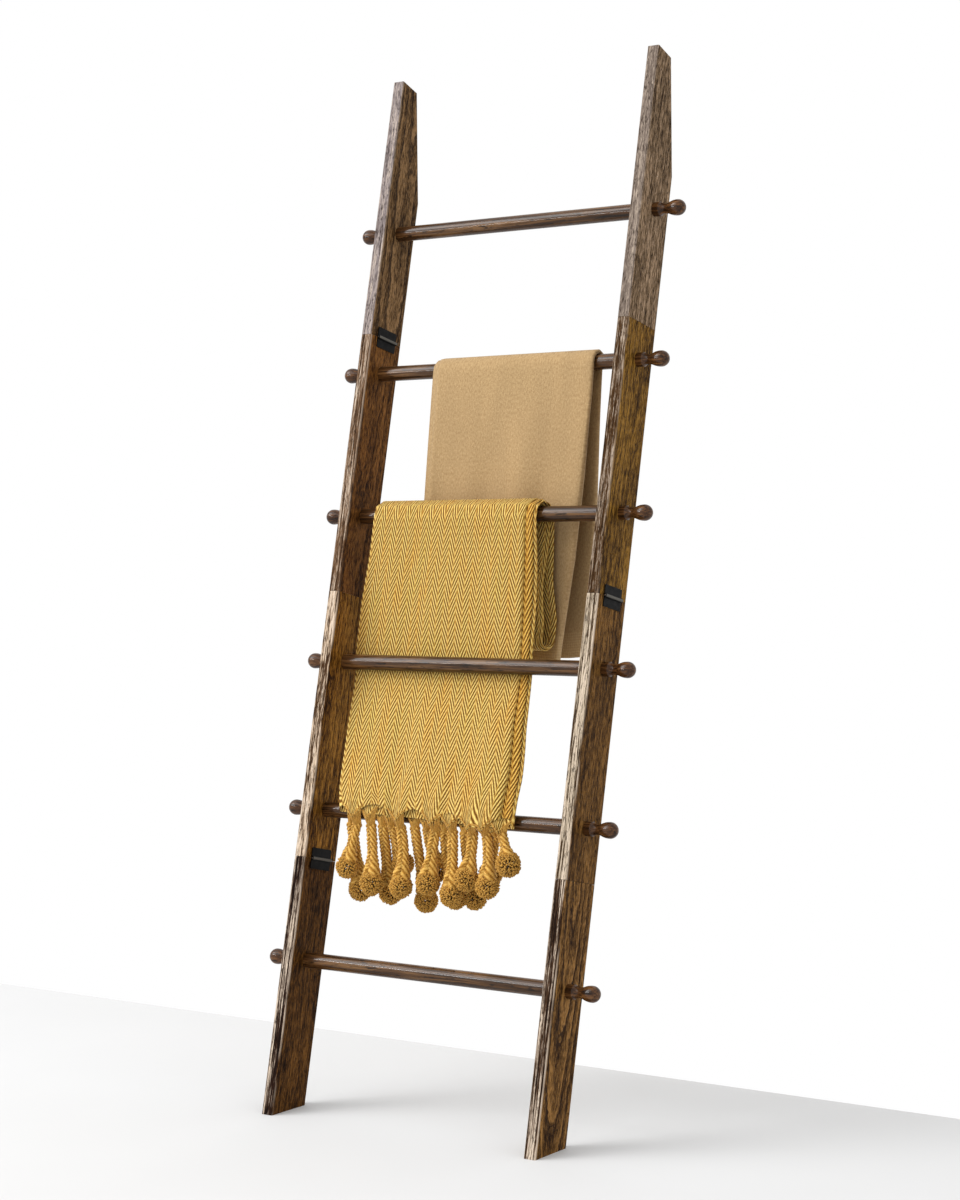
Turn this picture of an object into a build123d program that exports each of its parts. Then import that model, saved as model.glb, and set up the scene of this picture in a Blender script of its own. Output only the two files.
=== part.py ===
from build123d import *
import os
from math import cos, radians, sin, tan

# A blanket ladder that leans on a wall, with a folded blanket and a folded throw on its
# rungs.  Millimetres.  X runs along the rungs, Y towards the wall and Z up from the floor.
# Each stile is four boards on butt hinges.  The rungs are clamped between the stiles by
# turned pegs, whose studs screw through the stiles into inserts in the rung ends.

os.makedirs("parts", exist_ok=True)

# ---- Ladder ----
LEAN = 12.7
STILE_LENGTH = 1520.0
STILE_DEPTH = 72.0
STILE_THICKNESS = 18.0
STILE_EDGE_RADIUS = 1.0
INNER_GAP = 426.0
BOARD_JOINTS = (356.0, 742.0, 1128.0)
BOARD_JOINT_GAP = 0.4
WALL_CUT_START = 1352.0
TOP_CUT_DROP = 6.0
LOWEST_RUNG = 212.0
RUNG_PITCH = 216.0
RUNG_COUNT = 6
RUNG_RADIUS = 11.0

# ---- Pegs and their fixings ----
PEG_STUB_RADIUS = 10.0
PEG_STUB_LENGTH = 10.0
PEG_STUB_BEVEL = 0.8
PEG_NECK_RADIUS = 7.0
PEG_NECK_AT = 18.0
PEG_BALL_RADIUS = 11.2
PEG_BALL_AT = 37.5
STUD_RADIUS = 4.0
STUD_IN_PEG = 22.0
STUD_IN_RUNG = 24.0
STUD_HOLE_RADIUS = 4.4
STUD_RUNNING_CLEARANCE = 0.06
INSERT_RADIUS = 5.5
INSERT_LENGTH = 20.0
RUNG_BORE_DEPTH = 28.0

# ---- Hinges ----
HINGE_WIDTH = 43.0
LEAF_HEIGHT = 15.0
LEAF_THICKNESS = 1.5
KNUCKLE_RADIUS = 2.6
KNUCKLE_COUNT = 5
KNUCKLE_GAP = 0.2
PIN_RADIUS = 1.2
PIN_CLEARANCE = 0.05
SCREW_SPREAD = 13.0
SCREW_HEIGHT = 9.0
SCREW_HEAD_RADIUS = 3.0
SCREW_SHANK_RADIUS = 1.4
SCREW_LENGTH = 13.0
SCREW_CLEARANCE = 0.02

# ---- Blanket and throw ----
CLOTH_GAP = 0.5
BLANKET_THICKNESS = 7.0
THROW_THICKNESS = 11.0
CLOTH_BEND_RADIUS = 30.0
BRAID_RADIUS = 4.5
POMPOM_RADIUS = 16.0

SIDES = {"left": -1, "right": 1}
BOARD_NAMES = ("foot_board", "lower_board", "upper_board", "top_board")
HINGE_NAMES = ("low_hinge", "middle_hinge", "high_hinge")

inner_face = INNER_GAP / 2
outer_face = inner_face + STILE_THICKNESS
half_depth = STILE_DEPTH / 2
lean_sin = sin(radians(LEAN))
lean_cos = cos(radians(LEAN))
rungs_up = [LOWEST_RUNG + RUNG_PITCH * step for step in range(RUNG_COUNT)]

# The wall plane passes through the start of the cut at the back of each stile.
wall_y = WALL_CUT_START * lean_sin + half_depth * lean_cos
front_y = -half_depth / lean_cos
centre_shift = -(wall_y + front_y) / 2
lean_frame = Pos(0, centre_shift, 0) * Rot(-LEAN, 0, 0)


def save(name, shape):
    """Writes one sub-part."""
    export_step(shape, f"parts/{name}.step")


def save_leaning(name, shapes):
    """Writes a sub-part that was drawn along the upright ladder, leaned into place."""
    placed = [lean_frame * shape for shape in shapes]
    save(name, placed[0] if len(placed) == 1 else Compound(children=placed))


def rung_centre(number):
    """Y and Z of a rung's axis in the room, counted from 1 at the top."""
    along = rungs_up[RUNG_COUNT - number]
    return along * lean_sin + centre_shift, along * lean_cos


def rod(radius, start, length, depth=0, height=0):
    """A cylinder along X from start, with its sign of length giving its direction."""
    low = min(start, start + length)
    upright = Cylinder(radius, abs(length), align=(Align.CENTER, Align.CENTER, Align.MIN))
    return Pos(low, depth, height) * Rot(0, 90, 0) * upright


# ---- Stiles ----

def stile(side):
    """A whole stile, cut level at the floor and upright at the wall."""
    top_back = STILE_LENGTH - TOP_CUT_DROP
    outline = Polyline(
        (-half_depth, -half_depth * tan(radians(LEAN))),
        (half_depth, half_depth * tan(radians(LEAN))),
        (half_depth, WALL_CUT_START),
        ((wall_y - top_back * lean_sin) / lean_cos, top_back),
        (-half_depth, STILE_LENGTH),
        close=True,
    )
    face = Plane.YZ * make_face(outline.edges())
    board = Pos(inner_face, 0, 0) * extrude(face, STILE_THICKNESS, dir=(1, 0, 0))
    long_edges = [edge for edge in board.edges() if edge.length > 100 and abs(edge.center().Y) > 1]
    board = fillet(long_edges, STILE_EDGE_RADIUS)
    return board if side > 0 else board.mirror(Plane.YZ)


def stile_boards(side):
    """The four boards of a stile, with the holes for its studs and hinge screws."""
    board = stile(side)
    for height in rungs_up:
        board -= rod(STUD_HOLE_RADIUS, side * inner_face, side * STILE_THICKNESS, height=height)
    for index, joint in enumerate(BOARD_JOINTS):
        for screw in hinge_screws(side, index, SCREW_CLEARANCE):
            board -= screw
    ends = [-100.0, *BOARD_JOINTS, STILE_LENGTH + 100.0]
    pieces = []
    for low, high in zip(ends[:-1], ends[1:]):
        length = high - low - BOARD_JOINT_GAP
        middle = Pos(side * (inner_face + STILE_THICKNESS / 2), 0, (low + high) / 2)
        pieces.append(board & (middle * Box(2 * STILE_THICKNESS, 2 * STILE_DEPTH, length)))
    return pieces


# ---- Rungs, inserts, pegs and studs ----

def rung(height):
    """A round rung with a stepped bore in each end for its insert and the stud's tip."""
    body = rod(RUNG_RADIUS, -inner_face, INNER_GAP, height=height)
    body = chamfer(body.edges().filter_by(GeomType.CIRCLE), 0.6)
    for side in SIDES.values():
        body -= rod(INSERT_RADIUS, side * inner_face, -side * INSERT_LENGTH, height=height)
        body -= rod(STUD_HOLE_RADIUS, side * inner_face, -side * RUNG_BORE_DEPTH, height=height)
    return body


def rung_insert(side, height):
    """The metal sleeve in a rung's end that the stud screws into."""
    sleeve = rod(INSERT_RADIUS, side * inner_face, -side * INSERT_LENGTH, height=height)
    bore = STUD_RADIUS + STUD_RUNNING_CLEARANCE
    return sleeve - rod(bore, side * inner_face, -side * INSERT_LENGTH, height=height)


def stud(side, height):
    """The steel rod from inside a peg, through the stile, into the rung."""
    start = side * (inner_face - STUD_IN_RUNG)
    length = side * (STUD_IN_RUNG + STILE_THICKNESS + STUD_IN_PEG)
    body = rod(STUD_RADIUS, start, length, height=height)
    return chamfer(body.edges().filter_by(GeomType.CIRCLE), 0.8)


def peg(side, height):
    """A turned peg: a short stub, and a waist that widens smoothly into a ball."""
    ball_end = PEG_BALL_AT + PEG_BALL_RADIUS
    slant = PEG_BALL_RADIUS / 2**0.5
    stub_end = (PEG_STUB_LENGTH + PEG_STUB_BEVEL, PEG_STUB_RADIUS - PEG_STUB_BEVEL)
    profile = [
        Line((0, 0), (0, PEG_STUB_RADIUS)),
        Line((0, PEG_STUB_RADIUS), (PEG_STUB_LENGTH, PEG_STUB_RADIUS)),
        Line((PEG_STUB_LENGTH, PEG_STUB_RADIUS), stub_end),
        Spline(stub_end, (PEG_NECK_AT, PEG_NECK_RADIUS), (PEG_BALL_AT, PEG_BALL_RADIUS),
               tangents=[(1, -0.6), (1, 0)]),
        ThreePointArc((PEG_BALL_AT, PEG_BALL_RADIUS), (PEG_BALL_AT + slant, slant), (ball_end, 0)),
        Line((ball_end, 0), (0, 0)),
    ]
    turned = revolve(make_face(profile), Axis.X)
    turned -= rod(STUD_RADIUS + SCREW_CLEARANCE, 0, STUD_IN_PEG + 0.5)
    if side < 0:
        turned = turned.mirror(Plane.YZ)
    return Pos(side * outer_face, 0, height) * turned


# ---- Hinges ----

def hinge_place(side, index):
    """The face a hinge lies on and the way its leaves face: the middle ones are outside."""
    outside = index == 1
    return side * (outer_face if outside else inner_face), side if outside else -side


def hinge_pin(side, index, radius=PIN_RADIUS, length=HINGE_WIDTH + 1.0):
    """A hinge pin, from front to back across the joint between two boards."""
    face_x, facing = hinge_place(side, index)
    pin = Rot(90, 0, 0) * Cylinder(radius, length)
    return Pos(face_x + facing * KNUCKLE_RADIUS, 0, BOARD_JOINTS[index]) * pin


def hinge_screws(side, index, clearance=0.0):
    """The countersunk screws of one hinge, or the holes for them."""
    face_x, facing = hinge_place(side, index)
    screws = []
    for across in (-SCREW_SPREAD, SCREW_SPREAD):
        for up in (-SCREW_HEIGHT, SCREW_HEIGHT):
            shank = rod(SCREW_SHANK_RADIUS + clearance, 0, -facing * SCREW_LENGTH)
            head = Cone(SCREW_SHANK_RADIUS + clearance, SCREW_HEAD_RADIUS + clearance,
                        LEAF_THICKNESS, align=(Align.CENTER, Align.CENTER, Align.MIN))
            head = Rot(0, facing * 90, 0) * head
            screws.append(Pos(face_x, across, BOARD_JOINTS[index] + up) * (shank + head))
    return screws


def knuckle_band(first, clearance=0.0):
    """Boxes that hold every other knuckle's width, from the first knuckle onwards."""
    pitch = HINGE_WIDTH / KNUCKLE_COUNT
    width = pitch - KNUCKLE_GAP + clearance
    bands = []
    for number in range(first, KNUCKLE_COUNT, 2):
        middle = (number + 0.5) * pitch - HINGE_WIDTH / 2
        bands.append(Pos(0, middle, 0) * Box(60, width, 60))
    return bands


def hinge_leaf(side, index, up):
    """One leaf: its plate, its knuckles round the pin, and its countersunk holes."""
    face_x, facing = hinge_place(side, index)
    joint = Pos(face_x, 0, BOARD_JOINTS[index])
    plate_middle = Pos(facing * LEAF_THICKNESS / 2, 0, up * LEAF_HEIGHT / 2)
    plate = plate_middle * Box(LEAF_THICKNESS, HINGE_WIDTH, LEAF_HEIGHT)
    plate = fillet(plate.edges().filter_by(Axis.X).sort_by(Axis.Z)[2:] if up > 0
                   else plate.edges().filter_by(Axis.X).sort_by(Axis.Z)[:2], 1.5)
    barrel = Pos(facing * KNUCKLE_RADIUS, 0, 0) * Rot(90, 0, 0) * Cylinder(KNUCKLE_RADIUS, HINGE_WIDTH)
    own = 0 if up > 0 else 1
    clear_barrel = Pos(facing * KNUCKLE_RADIUS, 0, 0) * Rot(90, 0, 0)
    clear_barrel *= Cylinder(KNUCKLE_RADIUS + 0.3, HINGE_WIDTH + 1)
    for band in knuckle_band(1 - own, 2 * KNUCKLE_GAP):
        plate -= clear_barrel & band
    knuckles = [barrel & band for band in knuckle_band(own)]
    leaf = joint * plate
    for knuckle in knuckles:
        leaf += joint * knuckle
    leaf -= hinge_pin(side, index, PIN_RADIUS + PIN_CLEARANCE, HINGE_WIDTH + 2)
    for screw in hinge_screws(side, index, SCREW_CLEARANCE):
        leaf -= screw
    return leaf


# ---- Blanket and throw, as plain solids of their folded thickness ----

def draped_band(path, thickness, width_low, width_high):
    """A cloth's side view, thickened from its middle line and drawn out across the rungs."""
    middle = Wire([edge for part in path for edge in part.edges()])
    outline = middle.offset_2d(thickness / 2, side=Side.BOTH)
    face = Plane.YZ * Face(outline)
    return Pos(width_low, 0, 0) * extrude(face, width_high - width_low, dir=(1, 0, 0))


def panel_outline(points, low_y, high_y):
    """A block between two depths with the outline of a hanging panel seen from the front."""
    face = Plane.XZ * make_face(Polyline(*points, close=True).edges())
    return Pos(0, low_y, 0) * extrude(face, high_y - low_y, dir=(0, 1, 0))


def blanket():
    """The plain blanket over the second rung, behind the third."""
    y, z = rung_centre(2)
    reach = RUNG_RADIUS + CLOTH_GAP + BLANKET_THICKNESS / 2
    front_bottom = z - 415
    back_bottom = z - 409
    path = [
        Polyline((y - reach - 4, front_bottom), (y - reach - 4, z - 200), (y - reach, z)),
        ThreePointArc((y - reach, z), (y, z + reach), (y + reach, z)),
        Polyline((y + reach, z), (y + reach, back_bottom)),
    ]
    band = draped_band(path, BLANKET_THICKNESS, -200, 200)
    top = z + 40
    front = panel_outline([(-106, top), (167, top), (165, z - 40), (148, z - 165), (107, front_bottom - 9),
                           (-145, front_bottom - 9), (-106, z)], y - 60, y)
    back = panel_outline([(-106, top), (167, top), (158, z), (122, back_bottom - 9),
                          (-130, back_bottom - 9), (-106, z)], y, y + 60)
    return (band & front) + (band & back)


def throw():
    """The throw over the third rung, behind the fourth and in front of the fifth."""
    y, z = rung_centre(3)
    fourth_y, fourth_z = rung_centre(4)
    fifth_y, fifth_z = rung_centre(5)
    reach = RUNG_RADIUS + CLOTH_GAP + THROW_THICKNESS / 2
    hem = fifth_z - 6
    back_bottom = z - 186
    weave = FilletPolyline(
        (fifth_y - reach, hem),
        (fifth_y - reach, fifth_z + 8),
        (fourth_y + reach + 0.6, fourth_z - 6),
        (y - reach, z - 40),
        (y - reach, z),
        radius=[CLOTH_BEND_RADIUS / 2, CLOTH_BEND_RADIUS, CLOTH_BEND_RADIUS],
    )
    path = [
        weave,
        ThreePointArc((y - reach, z), (y, z + reach), (y + reach, z)),
        Line((y + reach, z), (y + reach, back_bottom)),
    ]
    band = draped_band(path, THROW_THICKNESS, -210, 210)
    top = z + 40
    front = panel_outline([(-177, top), (106, top), (104, fourth_z), (126, hem - 9),
                           (-167, hem - 9), (-203, fourth_z), (-177, z)], y - 160, y)
    back = panel_outline([(-177, top), (106, top), (108, back_bottom - 9),
                          (-172, back_bottom - 9), (-177, z)], y, y + 60)
    return (band & front) + (band & back)


# Each tassel: where its braid leaves the hem, where its pom-pom hangs, how far the
# pom-pom is below the fifth rung, and which of the two hems it belongs to.
TASSELS = (
    (-142, -157, 76, "front"), (-118, -114, 96, "front"), (-66, -62, 97, "front"),
    (-5, -15, 88, "front"), (24, 24, 102, "front"), (58, 50, 78, "front"),
    (81, 85, 86, "front"), (106, 120, 53, "front"),
    (-156, -161, 112, "behind"), (-100, -108, 114, "behind"), (-84, -86, 72, "behind"),
    (-44, -45, 120, "behind"), (-22, -22, 74, "behind"), (8, 6, 112, "behind"),
    (42, 39, 110, "behind"), (94, 66, 74, "behind"),
)
POMPOM_DEPTH = {"front": -24.0, "behind": 12.0}
BRAID_DEPTH = {"front": -18.5, "behind": -14.5}
BRAID_TOP = 13.5


def tassel(hem_across, pompom_across, drop, row):
    """A braid that hangs from a hem, with a pom-pom at its end."""
    y, z = rung_centre(5)
    top = Vector(hem_across, y + BRAID_DEPTH[row], z - BRAID_TOP)
    centre = Vector(pompom_across, y + POMPOM_DEPTH[row], z - drop)
    hang = centre - top
    braid = Cylinder(BRAID_RADIUS, hang.length, align=(Align.CENTER, Align.CENTER, Align.MIN))
    return Plane(origin=top, z_dir=hang) * braid + Pos(centre) * Sphere(POMPOM_RADIUS)


# ---- Write every sub-part ----

for side_name, side in SIDES.items():
    for board_name, board in zip(BOARD_NAMES, stile_boards(side)):
        save_leaning(f"{side_name}_{board_name}", [board])
    for index, hinge_name in enumerate(HINGE_NAMES):
        save_leaning(f"{side_name}_{hinge_name}_upper_leaf", [hinge_leaf(side, index, 1)])
        save_leaning(f"{side_name}_{hinge_name}_lower_leaf", [hinge_leaf(side, index, -1)])
    for number in range(1, RUNG_COUNT + 1):
        height = rungs_up[RUNG_COUNT - number]
        save_leaning(f"{side_name}_peg_{number}", [peg(side, height)])
        save_leaning(f"{side_name}_stud_{number}", [stud(side, height)])

for number in range(1, RUNG_COUNT + 1):
    save_leaning(f"rung_{number}", [rung(rungs_up[RUNG_COUNT - number])])

save_leaning("rung_inserts", [rung_insert(side, height) for side in SIDES.values() for height in rungs_up])
hinges = [(side, index) for side in SIDES.values() for index in range(len(BOARD_JOINTS))]
save_leaning("hinge_pins", [hinge_pin(side, index) for side, index in hinges])
save_leaning("hinge_screws", [screw for side, index in hinges for screw in hinge_screws(side, index)])
save("tan_blanket", blanket())
save("mustard_throw", throw())
save("throw_tassels", Compound(children=[tassel(*place) for place in TASSELS]))
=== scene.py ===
import math
import random

import bpy
import numpy as np
from mathutils import Euler, Matrix, Vector, noise


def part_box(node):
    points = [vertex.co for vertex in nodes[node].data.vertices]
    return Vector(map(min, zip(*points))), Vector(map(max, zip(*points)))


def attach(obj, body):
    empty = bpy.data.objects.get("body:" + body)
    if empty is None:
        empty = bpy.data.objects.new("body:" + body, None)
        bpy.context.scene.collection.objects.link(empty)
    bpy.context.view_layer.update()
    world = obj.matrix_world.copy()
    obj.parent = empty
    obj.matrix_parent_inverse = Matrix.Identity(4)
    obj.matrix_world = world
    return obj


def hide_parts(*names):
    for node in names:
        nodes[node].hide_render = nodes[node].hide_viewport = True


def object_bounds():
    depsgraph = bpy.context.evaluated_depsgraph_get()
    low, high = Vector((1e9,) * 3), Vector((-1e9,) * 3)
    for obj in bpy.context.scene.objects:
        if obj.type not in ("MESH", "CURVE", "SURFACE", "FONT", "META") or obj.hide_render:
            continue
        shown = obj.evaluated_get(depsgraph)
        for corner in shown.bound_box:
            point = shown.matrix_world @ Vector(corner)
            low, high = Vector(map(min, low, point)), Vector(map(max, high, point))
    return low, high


# A leaning blanket ladder with a plain tan blanket and a tasselled mustard throw.
# Metres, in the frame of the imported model: X along the rungs, Y towards the wall, Z up.

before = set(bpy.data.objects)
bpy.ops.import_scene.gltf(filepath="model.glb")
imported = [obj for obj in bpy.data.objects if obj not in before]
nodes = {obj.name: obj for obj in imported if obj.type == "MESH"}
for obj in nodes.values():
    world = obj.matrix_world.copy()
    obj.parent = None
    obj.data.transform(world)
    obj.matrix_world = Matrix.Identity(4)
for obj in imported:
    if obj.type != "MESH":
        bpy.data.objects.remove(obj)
cad_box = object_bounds()

RUNG_COUNT = 6


def rung_centre(number):
    """Y and Z of a rung's axis, counted from 1 at the top."""
    low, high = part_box(f"rung_{number}")
    return (low.y + high.y) / 2, (low.z + high.z) / 2


RUNGS = {number: rung_centre(number) for number in range(1, RUNG_COUNT + 1)}
RUNG_RADIUS = (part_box("rung_1")[1].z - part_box("rung_1")[0].z) / 2

# How far the ladder leans from upright, where the stiles' centre line meets the floor, and
# the inner and outer faces of a stile, which are the same distances from X = 0 on both sides.
LEAN = math.atan2(RUNGS[1][0] - RUNGS[6][0], RUNGS[1][1] - RUNGS[6][1])
STILE_FOOT_Y = RUNGS[6][0] - RUNGS[6][1] * math.tan(LEAN)
STILE_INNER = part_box("right_foot_board")[0].x
STILE_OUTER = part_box("right_foot_board")[1].x


# ---- Camera, light and floor ----

CAMERA_PLACE = (1.9636, -2.7629, 0.8176)
CAMERA_LENS = 72.4
SENSOR_HEIGHT = 36.0
LOOK_DOWN = math.radians(1.66)
LOOK_LEFT = math.radians(35.08)
CAMERA_ROLL = math.radians(-0.578)


def add_camera():
    """The camera, at the height of the middle rungs and to the right of the ladder."""
    data = bpy.data.cameras.new("camera")
    data.lens = CAMERA_LENS
    data.sensor_fit = "VERTICAL"
    data.sensor_height = SENSOR_HEIGHT
    camera = bpy.data.objects.new("camera", data)
    bpy.context.scene.collection.objects.link(camera)
    turn = Euler((math.pi / 2 - LOOK_DOWN, 0, LOOK_LEFT)).to_matrix()
    roll = Matrix.Rotation(CAMERA_ROLL, 3, "Z")
    camera.matrix_world = Matrix.Translation(CAMERA_PLACE) @ (turn @ roll).to_4x4()
    bpy.context.scene.camera = camera


def add_area_light(name, place, target, size, watts):
    """A soft rectangular light, size being its width and height, that points at a target."""
    data = bpy.data.lights.new(name, "AREA")
    data.shape = "RECTANGLE"
    data.size, data.size_y = size
    data.energy = watts
    light = bpy.data.objects.new(name, data)
    bpy.context.scene.collection.objects.link(light)
    light.location = place
    light.rotation_euler = (Vector(target) - Vector(place)).to_track_quat("-Z", "Y").to_euler()


def add_world(brightness):
    """An even white surrounding light, which is also the background."""
    world = bpy.data.worlds.new("studio")
    bpy.context.scene.world = world
    world.use_nodes = True
    world.node_tree.nodes["Background"].inputs["Color"].default_value = (1, 1, 1, 1)
    world.node_tree.nodes["Background"].inputs["Strength"].default_value = brightness


def add_sun(name, direction, strength, softness):
    """An even, soft light that shines along a direction."""
    data = bpy.data.lights.new(name, "SUN")
    data.energy = strength
    data.angle = softness
    light = bpy.data.objects.new(name, data)
    bpy.context.scene.collection.objects.link(light)
    light.rotation_euler = Vector(direction).to_track_quat("-Z", "Y").to_euler()


add_camera()
add_world(1.0)
add_sun("key_light", (0.75, 0.62, -0.62), 1.2, 0.5)
add_area_light("ceiling_light", (-1.4, -1.6, 3.0), (0, 0, 0.8), (3.2, 1.8), 40)
add_area_light("strip_light", (-2.0, -2.7, 1.75), (0, 0, 0.7), (1.6, 0.12), 24)
bpy.context.scene.view_settings.view_transform = "Standard"


# ---- Node building ----

def linear(red, green, blue):
    """A display colour, 0 to 255, as the linear red, green and blue that shaders use."""
    parts = [part / 255 for part in (red, green, blue)]
    return [part / 12.92 if part < 0.04045 else ((part + 0.055) / 1.055) ** 2.4 for part in parts]


# The scene's light shows a surface about this many times as bright as its colour.
LIGHT_LEVEL = 1.25
FULL_TURN = 2 * math.pi


def paint(red, green, blue):
    """The surface colour that shows as this display colour under the scene's light."""
    return tuple(part / LIGHT_LEVEL for part in linear(red, green, blue)) + (1.0,)


class Graph:
    """A material's node tree. Methods that make a value return its output socket."""

    def __init__(self, name, **shader_values):
        self.material = bpy.data.materials.new(name)
        self.material.use_nodes = True
        self.tree = self.material.node_tree
        self.shader = self.tree.nodes["Principled BSDF"]
        for socket, value in shader_values.items():
            self.shader.inputs[socket.replace("_", " ")].default_value = value

    def add(self, kind, inputs, output=0, **settings):
        node = self.tree.nodes.new(kind)
        for setting, value in settings.items():
            setattr(node, setting, value)
        for key, value in inputs.items():
            if isinstance(value, bpy.types.NodeSocket):
                self.tree.links.new(value, node.inputs[key])
            else:
                node.inputs[key].default_value = value
        return node.outputs[output]

    def math(self, operation, *values):
        return self.add("ShaderNodeMath", dict(enumerate(values)), operation=operation)

    def times(self, product, *others):
        for value in others:
            product = self.math("MULTIPLY", product, value)
        return product

    def fade(self, value, low, high, at_low, at_high):
        """Goes from one number to another as the value goes from low to high."""
        numbers = {0: value, 1: low, 2: high, 3: at_low, 4: at_high}
        return self.add("ShaderNodeMapRange", numbers)

    def vector(self, operation, *values):
        return self.add("ShaderNodeVectorMath", dict(enumerate(values)), operation=operation)

    def split(self, vector, axis):
        return self.add("ShaderNodeSeparateXYZ", {0: vector}, output=axis)

    def place(self, vector, location=(0, 0, 0), rotation=(0, 0, 0), scale=(1, 1, 1)):
        """Coordinates moved, turned and stretched. The scale is the cells to the metre, on
        each axis, of a noise that then has a scale of 1."""
        values = {"Vector": vector, "Location": location, "Rotation": rotation, "Scale": scale}
        return self.add("ShaderNodeMapping", values)

    def noise(self, vector, scale, detail=3.0, roughness=0.5):
        values = {"Vector": vector, "Scale": scale, "Detail": detail, "Roughness": roughness}
        return self.add("ShaderNodeTexNoise", values)

    def ramp(self, value, *stops):
        """Stops are (position, colour) pairs, or (position, grey) pairs."""
        node = self.tree.nodes.new("ShaderNodeValToRGB")
        elements = node.color_ramp.elements
        while len(elements) < len(stops):
            elements.new(0.5)
        for element, (position, colour) in zip(elements, stops):
            element.position = position
            element.color = colour if isinstance(colour, tuple) else (colour, colour, colour, 1)
        self.tree.links.new(value, node.inputs[0])
        return node.outputs[0]

    def mix(self, factor, first, second, blend="MIX"):
        values = {0: factor, 6: first, 7: second}
        return self.add("ShaderNodeMix", values, output=2, data_type="RGBA", blend_type=blend)

    def bump(self, height, distance, strength=1.0):
        values = {"Height": height, "Distance": distance, "Strength": strength}
        normal = self.add("ShaderNodeBump", values)
        self.tree.links.new(normal, self.shader.inputs["Normal"])

    def finish(self, colour, roughness=None):
        self.tree.links.new(colour, self.shader.inputs["Base Color"])
        if roughness is not None:
            self.tree.links.new(roughness, self.shader.inputs["Roughness"])
        return self.material


def object_position(graph):
    return graph.add("ShaderNodeTexCoord", {}, output=3)


# ---- Wood, metal and floor materials ----

# A stile's front corners are painted pale, partly as rubbed wear and partly as a painted
# highlight. These are places in front of its centre line: fully pale at the first, just
# short of the front face, and not at all at the second.
RUB_AND_HIGHLIGHT_AT = -0.0352
RUB_AND_HIGHLIGHT_TO = -0.0322


def along_stile(graph):
    """Object coordinates turned so that Z runs up the leaning stiles from their feet."""
    from_foot = graph.vector("SUBTRACT", object_position(graph), (0, STILE_FOOT_Y, 0))
    values = {"Vector": from_foot, "Angle": LEAN}
    return graph.add("ShaderNodeVectorRotate", values, rotation_type="X_AXIS")


def scaled(colour, *shares):
    """A colour with its red, green and blue multiplied by three shares."""
    return tuple(part * share for part, share in zip(colour, shares)) + (1.0,)


def total(graph, *weighted):
    """The middle value 0.5 plus each noise's swing about its own middle, times its weight."""
    value = 0.5 - 0.5 * sum(weight for _, weight in weighted)
    for noise_value, weight in weighted:
        value = graph.math("MULTIPLY_ADD", noise_value, weight, value)
    return value


def growth_rings(graph, grain, shifted, pith, slope):
    """Rises from 0 to 1 across each growth ring, round a slanting and swaying pith line."""
    slow = graph.place(shifted, scale=(9, 9, 3.2))
    sway = graph.add("ShaderNodeTexNoise", {"Vector": slow, "Scale": 1.0, "Detail": 2.0}, output=1)
    sway = graph.vector("SUBTRACT", sway, (0.5, 0.5, 0.5))
    sway = graph.vector("MULTIPLY", sway, (0.03, 0.03, 0.0))
    ringed = graph.place(graph.vector("ADD", grain, sway), location=(-pith[0], -pith[1], 0),
                         rotation=(slope[1], -slope[0], 0))
    values = {"Vector": ringed, "Scale": 30.0, "Distortion": 2.4, "Detail": 3.0,
              "Detail Scale": 1.5, "Detail Roughness": 0.6}
    return graph.add("ShaderNodeTexWave", values, output=1, wave_type="RINGS",
                     rings_direction="Z", wave_profile="SAW")


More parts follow.
